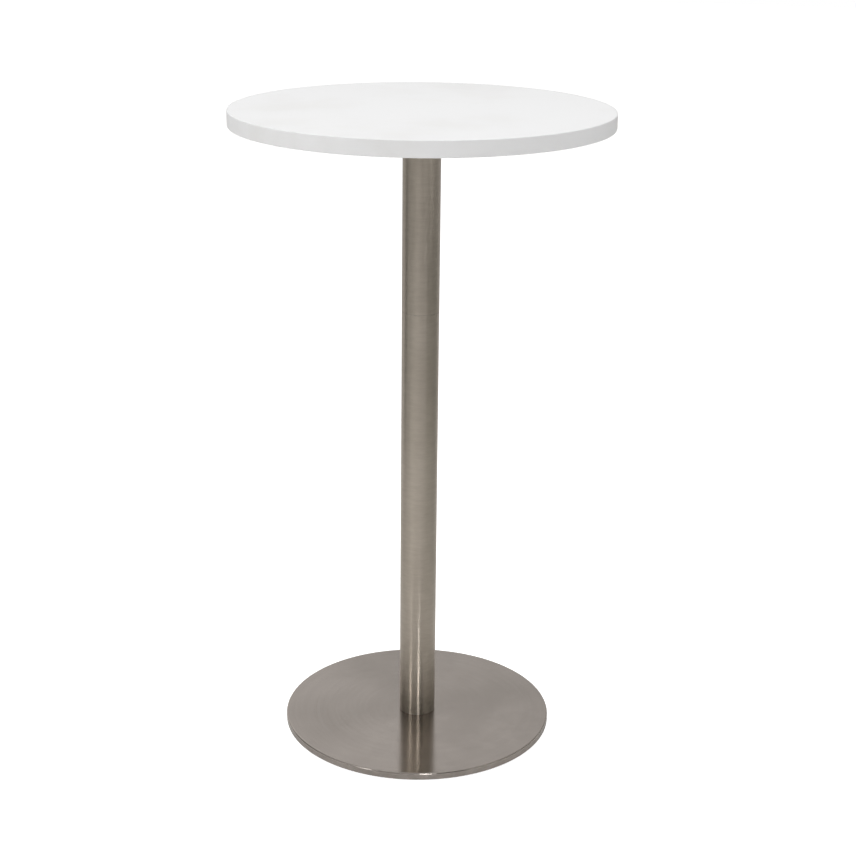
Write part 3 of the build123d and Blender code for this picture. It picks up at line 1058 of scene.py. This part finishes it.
@dataclass
class TieRod:
    """The long rod that clamps the table, threaded at both ends, with its nut and washers.

    Attributes:
        pitch: the thread's rise in one turn.
        threaded: how much of each end is threaded.
        end_ease: how far the rod's ends are chamfered.
        shank_share: how far the plain shank lies under the crests, as a share of the pitch.
        core_share: how far the core under the thread lies, as a share of the pitch.
        steps: facets round the shank.
    """

    pitch: float = 1.75 * MM
    threaded: float = 42.0 * MM
    end_ease: float = 1.0 * MM
    shank_share: float = 0.4
    core_share: float = 0.62
    steps: int = 32

    def __post_init__(self) -> None:
        """Read the rod's place from the frame."""
        self.rod = Turned.of("tie_rod")

    def build_rod(self) -> bpy.types.Object:
        """Turn the shank and cut a thread on each end."""
        crest, low, high = self.rod.radius, self.rod.bottom, self.rod.top
        shank = crest - self.shank_share * self.pitch
        core = crest - self.core_share * self.pitch
        section = [
            (0.0, low), (core, low), (core, low + self.threaded), (shank, low + self.threaded + self.pitch),
            (shank, high - self.threaded - self.pitch), (core, high - self.threaded), (core, high), (0.0, high),
        ]
        bm = turn(section, self.steps)
        for height in (low, high):
            ease(bm, core, height, self.end_ease, 2)
        join(bm, thread(crest, self.pitch, low + self.end_ease, low + self.threaded))
        join(bm, thread(crest, self.pitch, high - self.threaded, high - self.end_ease))
        return keep(bm, "clamping_rod")

    def assemble(self) -> None:
        """Build and dress the rod, and dress what tightens it."""
        zinc = TurnedSteel("zinc_rod", ZINC_LIGHT, ZINC_DARK, roughness=0.3, lines=3000.0)
        plated = zinc.material(ORIGIN)
        mount(self.build_rod(), plated, "table", "zinc_plated_steel", "tie_rod")
        for node in ("rod_washer", "rod_spring_washer", "rod_nut"):
            dress(node, plated)


@dataclass
class Base:
    """The pressed cover over its cast ballast plate, and the boss that centres the column.

    Attributes:
        sheet: the cover's thickness.
        hem: how far the hem reaches in under the ballast.
        rim_round: the radius of the cover's upper edge.
        hem_round: the radius of its lower edge.
        hem_ease: how far the hem's inner edge is eased.
        opening: the hole under the boss.
        steps: facets round the cover.
    """

    sheet: float = 1.2 * MM
    hem: float = 6.0 * MM
    rim_round: float = 3.0 * MM
    hem_round: float = 1.3 * MM
    hem_ease: float = 0.3 * MM
    opening: float = 24.0 * MM
    steps: int = 288

    def __post_init__(self) -> None:
        """Read the cover's place from the frame."""
        self.cover = Turned.of("base_cover")

    def build_cover(self) -> bpy.types.Object:
        """Turn the cover with its rolled rim and hem."""
        outer, bottom, top = self.cover.radius, self.cover.bottom, self.cover.top
        inside, under, over = outer - self.sheet, bottom + self.sheet, top - self.sheet
        section = [
            (self.opening, top), (outer, top), (outer, bottom), (outer - self.hem, bottom),
            (outer - self.hem, under), (inside, under), (inside, over), (self.opening, over),
        ]
        bm = turn(section, self.steps)
        ease(bm, outer, top, self.rim_round, 8)
        ease(bm, inside, over, self.rim_round - self.sheet, 4)
        ease(bm, outer, bottom, self.hem_round, 5)
        ease(bm, outer - self.hem, bottom, self.hem_ease, 2)
        return keep(bm, "pressed_cover")

    def assemble(self) -> None:
        """Build and dress the base."""
        brushed = BrushedSteel(
            "brushed_cover", COVER_LIGHT, COVER_DARK, roughness=0.18, spread=0.75, lines=2200.0, run=1.4, scratch=0.3,
            groove=0.02, handling=0.5,
            # Wear polish and a painted highlight along the cover's rounded upper edge.
            rim_radius=self.cover.radius - self.rim_round * 0.5, rim_height=self.cover.top, rim_width=self.rim_round,
            # Painted shade on the cover's rim side, under its rounded upper edge.
            painted_shade_below=self.cover.top - self.rim_round, painted_shade_fade=1.0 * MM, painted_shade_share=0.3,
        )
        iron = Casting("cast_iron", (0.035, 0.035, 0.036), (0.16, 0.07, 0.035), grains=700.0)
        boss = TurnedSteel("turned_boss", TURNED_LIGHT, TURNED_DARK, roughness=0.3, lines=5000.0)
        zinc = TurnedSteel("zinc_boss_screws", ZINC_LIGHT, ZINC_DARK, roughness=0.3, lines=4000.0)
        mount(self.build_cover(), brushed.material(ORIGIN), "table", "brushed_stainless_cover", "base_cover")
        dress("ballast_disc", iron.material(ORIGIN))
        dress("centring_boss", boss.material(ORIGIN))
        dress("boss_screws", zinc.material(ORIGIN))


@dataclass
class Glide:
    """One levelling glide: a nylon pad that turns on the flanged foot of a threaded stem.

    Attributes:
        number: which of the glides it is.
        key: the stem's socket across its flats.
        key_depth: how deep the socket is.
        pitch: the stem thread's rise in one turn.
        key_hole: the radius of the hole that the key goes through.
        floor: the thickness of the pad under the flange.
        lip: the thickness of the pad's lip over the flange.
        pad_round: how far the pad's edges are rounded.
        shaft: the radius of the stem thread's crests.
        core_share: how far the core under the thread lies, as a share of the pitch.
        flange_gap: the clearance between the flange and the lip over it.
        cavity_gap: the clearance round the flange.
        throat_gap: the clearance of the lip round the stem.
        ring_depth: how deep the rings in the pad's foot are.
        ring_half: half of a ring's width.
        ring_places: where the rings lie, as shares of the way from the key's hole to the rim.
        key_hole_ease: how far the mouth of the key's hole is rounded.
        mouth_room: how far the socket's round mouth reaches past its flats.
        flange_ease: how far the flange's edges are eased.
        thread_start: how far over the flange the thread starts.
        thread_end: how far under the stem's end it stops.
        pad_steps: facets round the pad.
        stem_steps: facets round the stem.
    """

    number: int
    key: float = 4.0 * MM
    key_depth: float = 3.0 * MM
    pitch: float = 1.25 * MM
    key_hole: float = 4.0 * MM
    floor: float = 1.2 * MM
    lip: float = 0.8 * MM
    pad_round: float = 0.6 * MM
    shaft: float = 3.95 * MM
    core_share: float = 0.62
    flange_gap: float = 0.1 * MM
    cavity_gap: float = 0.2 * MM
    throat_gap: float = 0.55 * MM
    ring_depth: float = 0.35 * MM
    ring_half: float = 0.45 * MM
    ring_places: tuple[float, float] = (0.35, 0.7)
    key_hole_ease: float = 0.3 * MM
    mouth_room: float = 0.6 * MM
    flange_ease: float = 0.25 * MM
    thread_start: float = 0.3 * MM
    thread_end: float = 0.5 * MM
    pad_steps: int = 72
    stem_steps: int = 48

    def __post_init__(self) -> None:
        """Read the glide's places from the frame."""
        self.pad = Turned.of(f"glide_{self.number}_pad")
        self.stem = Turned.of(f"glide_{self.number}_stem")
        self.flange_top = self.pad.top - self.lip - self.flange_gap

    def build_pad(self) -> bpy.types.Object:
        """Turn the pad, with two shallow rings moulded into its foot."""
        outer, low, high = self.pad.radius, self.pad.bottom, self.pad.top
        cavity, throat, roof = self.stem.radius + self.cavity_gap, self.shaft + self.throat_gap, high - self.lip
        foot = [(self.key_hole, low)]
        for share in self.ring_places:
            middle, raised = self.key_hole + (outer - self.key_hole) * share, low + self.ring_depth
            foot += [(middle - self.ring_half, low), (middle - self.ring_half * 0.5, raised)]
            foot += [(middle + self.ring_half * 0.5, raised), (middle + self.ring_half, low)]
        section = foot + [
            (outer, low), (outer, high), (throat, high), (throat, roof), (cavity, roof),
            (cavity, low + self.floor), (self.key_hole, low + self.floor),
        ]
        axis = self.pad.axis
        bm = turn(section, self.pad_steps, axis=axis)
        for radius, height, size in (
            (outer, low, self.pad_round), (outer, high, self.pad_round), (self.key_hole, low, self.key_hole_ease),
        ):
            ease(bm, radius, height, size, 3, axis=axis)
        return keep(bm, f"nylon_foot_{self.number}")

    def build_stem(self) -> bpy.types.Object:
        """Turn the flange and core, open the key socket and cut the thread."""
        axis, low, high = self.stem.axis, self.stem.bottom, self.stem.top
        root = self.shaft - self.core_share * self.pitch
        mouth = self.key / 2 + self.mouth_room
        bm = bmesh.new()
        section = [
            (mouth, low), (self.stem.radius, low), (self.stem.radius, self.flange_top),
            (root, self.flange_top), (root, high), (0.0, high),
        ]
        corners = [bm.verts.new((axis.x + radius, axis.y, height)) for radius, height in section]
        edges = [bm.edges.new(pair) for pair in zip(corners, corners[1:])]
        bmesh.ops.spin(
            bm, geom=corners + edges, cent=axis, axis=(0, 0, 1), angle=tau, steps=self.stem_steps, use_merge=True
        )
        bmesh.ops.remove_doubles(bm, verts=bm.verts, dist=MERGE)
        hex_socket(bm, mouth, low, self.key, self.key_depth, axis)
        for height in (low, self.flange_top):
            ease(bm, self.stem.radius, height, self.flange_ease, 2, axis=axis)
        start, end = self.flange_top + self.thread_start, high - self.thread_end
        join(bm, thread(self.shaft, self.pitch, start, end, axis=axis))
        return keep(bm, f"threaded_stem_{self.number}")

    def assemble(self) -> None:
        """Build and dress the glide."""
        nylon = PebbledPlastic(
            f"black_nylon_{self.number}", (0.018, 0.018, 0.019), (0.06, 0.058, 0.055), roughness=0.42,
            grains=1500.0, depth=0.00008, marking=0.6, dust=0.1,
        )
        zinc = TurnedSteel(
            f"zinc_stem_{self.number}", ZINC_LIGHT, ZINC_DARK, roughness=0.26, lines=4000.0
        )
        pad_name, stem_name = f"glide_{self.number}_pad", f"glide_{self.number}_stem"
        mount(self.build_pad(), nylon.material(self.pad.axis), pad_name, "black_nylon", pad_name)
        mount(self.build_stem(), zinc.material(self.stem.axis), stem_name, "zinc_plated_steel", stem_name)


# ---------------------------------------------------------------- studio


RIM = (0.0, 0.0, 0.8)
FOOT = (0.0, 0.0, 0.08)
STRIP_BEAM = 16.0


@dataclass(frozen=True)
class Lamp:
    """A rectangular lamp, out of the camera's sight.

    Attributes:
        name: its name.
        place: where it hangs.
        width: its width.
        tall: its own height.
        power: its power, in watts.
        target: the point that it faces.
        spread: how wide its beam is, in degrees.
        on_matt: whether it lights matt surfaces.
        on_gloss: whether it shows in glossy ones.
    """

    name: str
    place: Place
    width: float
    tall: float
    power: float
    target: Place
    spread: float = 180.0
    on_matt: bool = True
    on_gloss: bool = False

    def hang(self) -> None:
        """Hang the lamp."""
        data = bpy.data.lights.new(self.name, "AREA")
        data.shape = "RECTANGLE"
        data.size, data.size_y = self.width, self.tall
        data.energy = self.power
        data.spread = radians(self.spread)
        lamp = bpy.data.objects.new(self.name, data)
        lamp.location = self.place
        aim = Vector(self.target) - Vector(self.place)
        lamp.rotation_euler = aim.to_track_quat("-Z", "Y").to_euler()
        lamp.visible_camera = False
        lamp.visible_diffuse = self.on_matt
        lamp.visible_glossy = self.on_gloss
        bpy.context.scene.collection.objects.link(lamp)


def strip(name: str, bearing: float, distance: float, height: float, width: float, tall: float, power: float) -> Lamp:
    """Make a narrow lamp with a tight beam, which only the metal shows.

    Args:
        name: its name.
        bearing: where it stands, in degrees to the right of straight in front.
        distance: how far away it stands.
        height: how high it hangs.
        width: its width.
        tall: its own height.
        power: its power, in watts.

    Returns:
        The lamp, facing the foot of the column.
    """
    away = radians(bearing)
    place = (distance * sin(away), -distance * cos(away), height)
    return Lamp(name, place, width, tall, power, FOOT, spread=STRIP_BEAM, on_matt=False, on_gloss=True)


@dataclass(frozen=True)
class Card:
    """An upright paper card that only the metal sees.

    Attributes:
        name: its name.
        near: one of its lower corners, on the floor.
        far: the other.
        height: how high it is.
        tone: how bright it is.
        lift: how far it stands over the floor.
        warmth: its blue, as a share of its tone.
        roughness: how dull it is.
    """

    name: str
    near: tuple[float, float]
    far: tuple[float, float]
    height: float
    tone: float
    lift: float = 0.01
    warmth: float = 0.95
    roughness: float = 0.9

    def stand(self) -> None:
        """Build the card and stand it up."""
        middle = (Vector(self.near) + Vector(self.far)) / 2
        run = Vector(self.far) - Vector(self.near)
        bm = bmesh.new()
        bmesh.ops.create_grid(bm, x_segments=1, y_segments=1, size=0.5)
        bmesh.ops.scale(bm, verts=bm.verts, vec=(run.length, self.height, 1.0))
        for angle, axis in ((pi / 2, "X"), (atan2(run.y, run.x), "Z")):
            bmesh.ops.rotate(bm, verts=bm.verts, cent=(0, 0, 0), matrix=Matrix.Rotation(angle, 3, axis))
        bmesh.ops.translate(bm, verts=bm.verts, vec=(middle.x, middle.y, self.height / 2 + self.lift))
        card = keep(bm, self.name)
        paper = bpy.data.materials.new(self.name)
        paper.use_nodes = True
        shader = paper.node_tree.nodes["Principled BSDF"]
        shader.inputs["Base Color"].default_value = (self.tone, self.tone, self.tone * self.warmth, 1.0)
        shader.inputs["Roughness"].default_value = self.roughness
        card.data.materials.append(paper)
        card.visible_camera = card.visible_diffuse = card.visible_shadow = False


@dataclass
class Studio:
    """The pale floor, the soft lights and the camera.

    Attributes:
        focal_length: the lens, in millimetres, on a 36 mm sensor.
        eye: where the camera stands.
        pitch: how far it looks down, in degrees.
        yaw: how far it looks to the right, in degrees.
        roll: how far it leans, in degrees.
        view_end: how far the camera sees.
        floor_tone: the floor's colour.
        floor_radius: how wide the floor is, from its middle.
        floor_glow: how much brighter than its light the camera sees the floor.
        floor_gap: how far the floor lies under the feet, so that the two never share a plane.
        warmth: the colour cast of the room's walls.
        ceiling_tone: how bright the ceiling is.
        ceiling_starts: between which heights of the look upwards the walls turn to ceiling.
        glow_starts: between which heights of the look upwards the room grows brighter.
        glow: how bright the room is under and over that.
        wall_tones: how bright the walls are, as bearings in degrees from straight in front, and tones.
        cards: the cards at the sides, for the darker bands down the metal.
        lamps: the softboxes for the white parts, and the strips that draw lines down the metal.
    """

    focal_length: float = 72.22
    eye: Vector = Vector((0.0, -2.6585, 1.4377))
    pitch: float = 18.96
    yaw: float = 0.3
    roll: float = 0.6
    view_end: float = 60.0
    floor_tone: Colour = (0.76, 0.75, 0.737)
    floor_radius: float = 14.0
    floor_glow: float = 0.85
    floor_gap: float = 0.1 * MM
    warmth: Colour = (1.0, 0.985, 0.965)
    ceiling_tone: float = 0.5
    ceiling_starts: tuple[float, float] = (0.6, 0.9)
    glow_starts: tuple[float, float] = (0.4, 0.56)
    glow: tuple[float, float] = (0.9, 1.12)
    wall_tones: tuple[tuple[float, float], ...] = (
        (-180, 0.6), (-165, 0.7), (-145, 0.75), (-115, 0.35), (-80, 0.35), (-50, 0.4), (-15, 0.38), (15, 0.15),
        (60, 0.08), (100, 0.12), (130, 0.35), (165, 0.55), (180, 0.6),
    )
    cards: tuple[Card, ...] = (
        Card("far_left_card", near=(-1.35, 0.55), far=(-1.45, -0.1), height=0.72, tone=0.22),
        Card("near_left_card", near=(-1.45, -0.1), far=(-0.8, -1.28), height=0.62, tone=0.4),
        Card("far_right_card", near=(0.8, 0.62), far=(0.7, -0.22), height=0.66, tone=0.42),
        Card("near_right_card", near=(0.7, -0.22), far=(0.45, -0.6), height=0.64, tone=0.5),
        Card("front_card", near=(-1.2, -1.75), far=(1.0, -1.9), height=0.2, tone=0.35),
    )
    lamps: tuple[Lamp, ...] = (
        Lamp("overhead_softbox", (0.0, -0.3, 3.2), width=2.8, tall=2.8, power=50.3, target=(0.0, 0.0, 0.5)),
        Lamp("left_softbox", (-2.9, -2.0, 0.55), width=1.6, tall=0.9, power=32.4, target=RIM),
        Lamp("right_softbox", (3.1, -1.7, 0.55), width=1.6, tall=0.9, power=25.0, target=RIM),
        Lamp("front_softbox", (0.3, -3.2, 0.6), width=1.2, tall=0.8, power=3.3, target=RIM),
        Lamp(
            "back_lamp", (-0.2, 3.3, 2.5), width=0.35, tall=0.3, power=0.0003, target=(-0.1, -0.2, 0.0), spread=4.0,
            on_matt=False, on_gloss=True,
        ),
        Lamp("floor_lamp", (-0.45, -0.75, 0.95), width=0.5, tall=0.5, power=2.6, target=(-0.4, -0.7, 0.0)),
        strip("left_strip", bearing=-46.0, distance=3.0, height=1.9, width=0.7, tall=0.5, power=0.1),
        strip("right_strip", bearing=7.5, distance=3.0, height=1.9, width=0.45, tall=0.5, power=0.075),
        strip("low_strip", bearing=7.0, distance=1.0, height=0.1, width=0.15, tall=0.16, power=0.0085),
    )

    def place_camera(self) -> None:
        """Stand the camera in front of the table, a little above its top."""
        data = bpy.data.cameras.new("camera")
        data.lens = self.focal_length
        data.sensor_width = SENSOR_WIDTH
        data.clip_end = self.view_end
        camera = bpy.data.objects.new("camera", data)
        turned = Euler((pi / 2 - radians(self.pitch), 0.0, -radians(self.yaw)), "XYZ").to_matrix()
        leaning = Matrix.Rotation(radians(self.roll), 3, "Z")
        camera.matrix_world = Matrix.Translation(self.eye) @ (turned @ leaning).to_4x4()
        bpy.context.scene.collection.objects.link(camera)
        bpy.context.scene.camera = camera

    def lay_floor(self) -> None:
        """Lay a wide pale floor, burnt out to white from above and open from below."""
        bm = bmesh.new()
        level = Matrix.Translation((0.0, 0.0, -self.floor_gap))
        bmesh.ops.create_circle(bm, cap_ends=True, segments=96, radius=self.floor_radius, matrix=level)
        floor = keep(bm, "studio_floor")
        material = bpy.data.materials.new("studio_floor")
        material.use_nodes = True
        w = Wiring(material.node_tree)
        w.tree.nodes.remove(w.tree.nodes["Principled BSDF"])
        lit = w.add("BsdfDiffuse")
        lit.inputs["Color"].default_value = (*self.floor_tone, 1.0)
        glow = w.add("Emission")
        glow.inputs["Color"].default_value = (1.0, 1.0, 1.0, 1.0)
        w.feed(glow.inputs["Strength"], w.times(w.add("LightPath").outputs["Is Camera Ray"], self.floor_glow))
        both = w.add("AddShader")
        w.feed(both.inputs[0], lit.outputs[0])
        w.feed(both.inputs[1], glow.outputs[0])
        two_sided = w.add("MixShader")
        w.feed(two_sided.inputs[0], w.add("NewGeometry").outputs["Backfacing"])
        w.feed(two_sided.inputs[1], both.outputs[0])
        w.feed(two_sided.inputs[2], w.add("BsdfTransparent").outputs[0])
        w.feed(w.tree.nodes["Material Output"].inputs["Surface"], two_sided.outputs[0])
        floor.data.materials.append(material)

    def fill_room(self) -> None:
        """Give the room its own glow: white to the camera, with darker and lighter walls for the metal to show."""
        world = bpy.data.worlds.new("studio_room")
        bpy.context.scene.world = world
        world.use_nodes = True
        w = Wiring(world.node_tree)
        seen = w.tree.nodes["Background"]
        seen.inputs["Color"].default_value = (1.0, 1.0, 1.0, 1.0)
        seen.inputs["Strength"].default_value = 1.0
        room = w.add("Background")
        x, y, z = w.parts(w.add("TexCoord").outputs["Generated"])
        bearing = w.math("DIVIDE", w.math("ARCTAN2", x, w.times(y, -1.0)), tau)
        walls = w.add("ValToRGB")
        w.feed(walls.inputs["Fac"], w.plus(bearing, 0.5))
        ramp = walls.color_ramp
        while len(ramp.elements) < len(self.wall_tones):
            ramp.elements.new(0.5)
        for stop, (degrees, tone) in zip(ramp.elements, self.wall_tones):
            stop.position = degrees / 360 + 0.5
            stop.color = (*(tone * share for share in self.warmth), 1.0)
        ceiling = tuple(self.ceiling_tone * share for share in self.warmth)
        w.feed(room.inputs["Color"], w.blend(w.window(z, *self.ceiling_starts), walls.outputs["Color"], ceiling))
        w.feed(room.inputs["Strength"], w.between(w.window(z, *self.glow_starts), *self.glow))
        mix = w.add("MixShader")
        w.feed(mix.inputs[0], w.add("LightPath").outputs["Is Camera Ray"])
        w.feed(mix.inputs[1], room.outputs[0])
        w.feed(mix.inputs[2], seen.outputs[0])
        w.feed(w.tree.nodes["World Output"].inputs["Surface"], mix.outputs[0])

    def set_up(self) -> None:
        """Build the whole studio."""
        bpy.context.scene.view_settings.view_transform = "Standard"
        self.place_camera()
        self.lay_floor()
        self.fill_room()
        for lamp in self.lamps:
            lamp.hang()
        for card in self.cards:
            card.stand()


def main() -> None:
    """Build the table and its studio."""
    logging.basicConfig(level=logging.INFO, format="%(name)s: %(message)s")
    TableTop().assemble()
    Spider().assemble()
    Column().assemble()
    TieRod().assemble()
    Base().assemble()
    for number in range(1, 5):
        Glide(number).assemble()
    Studio().set_up()


if __name__ == "__main__":
    main()
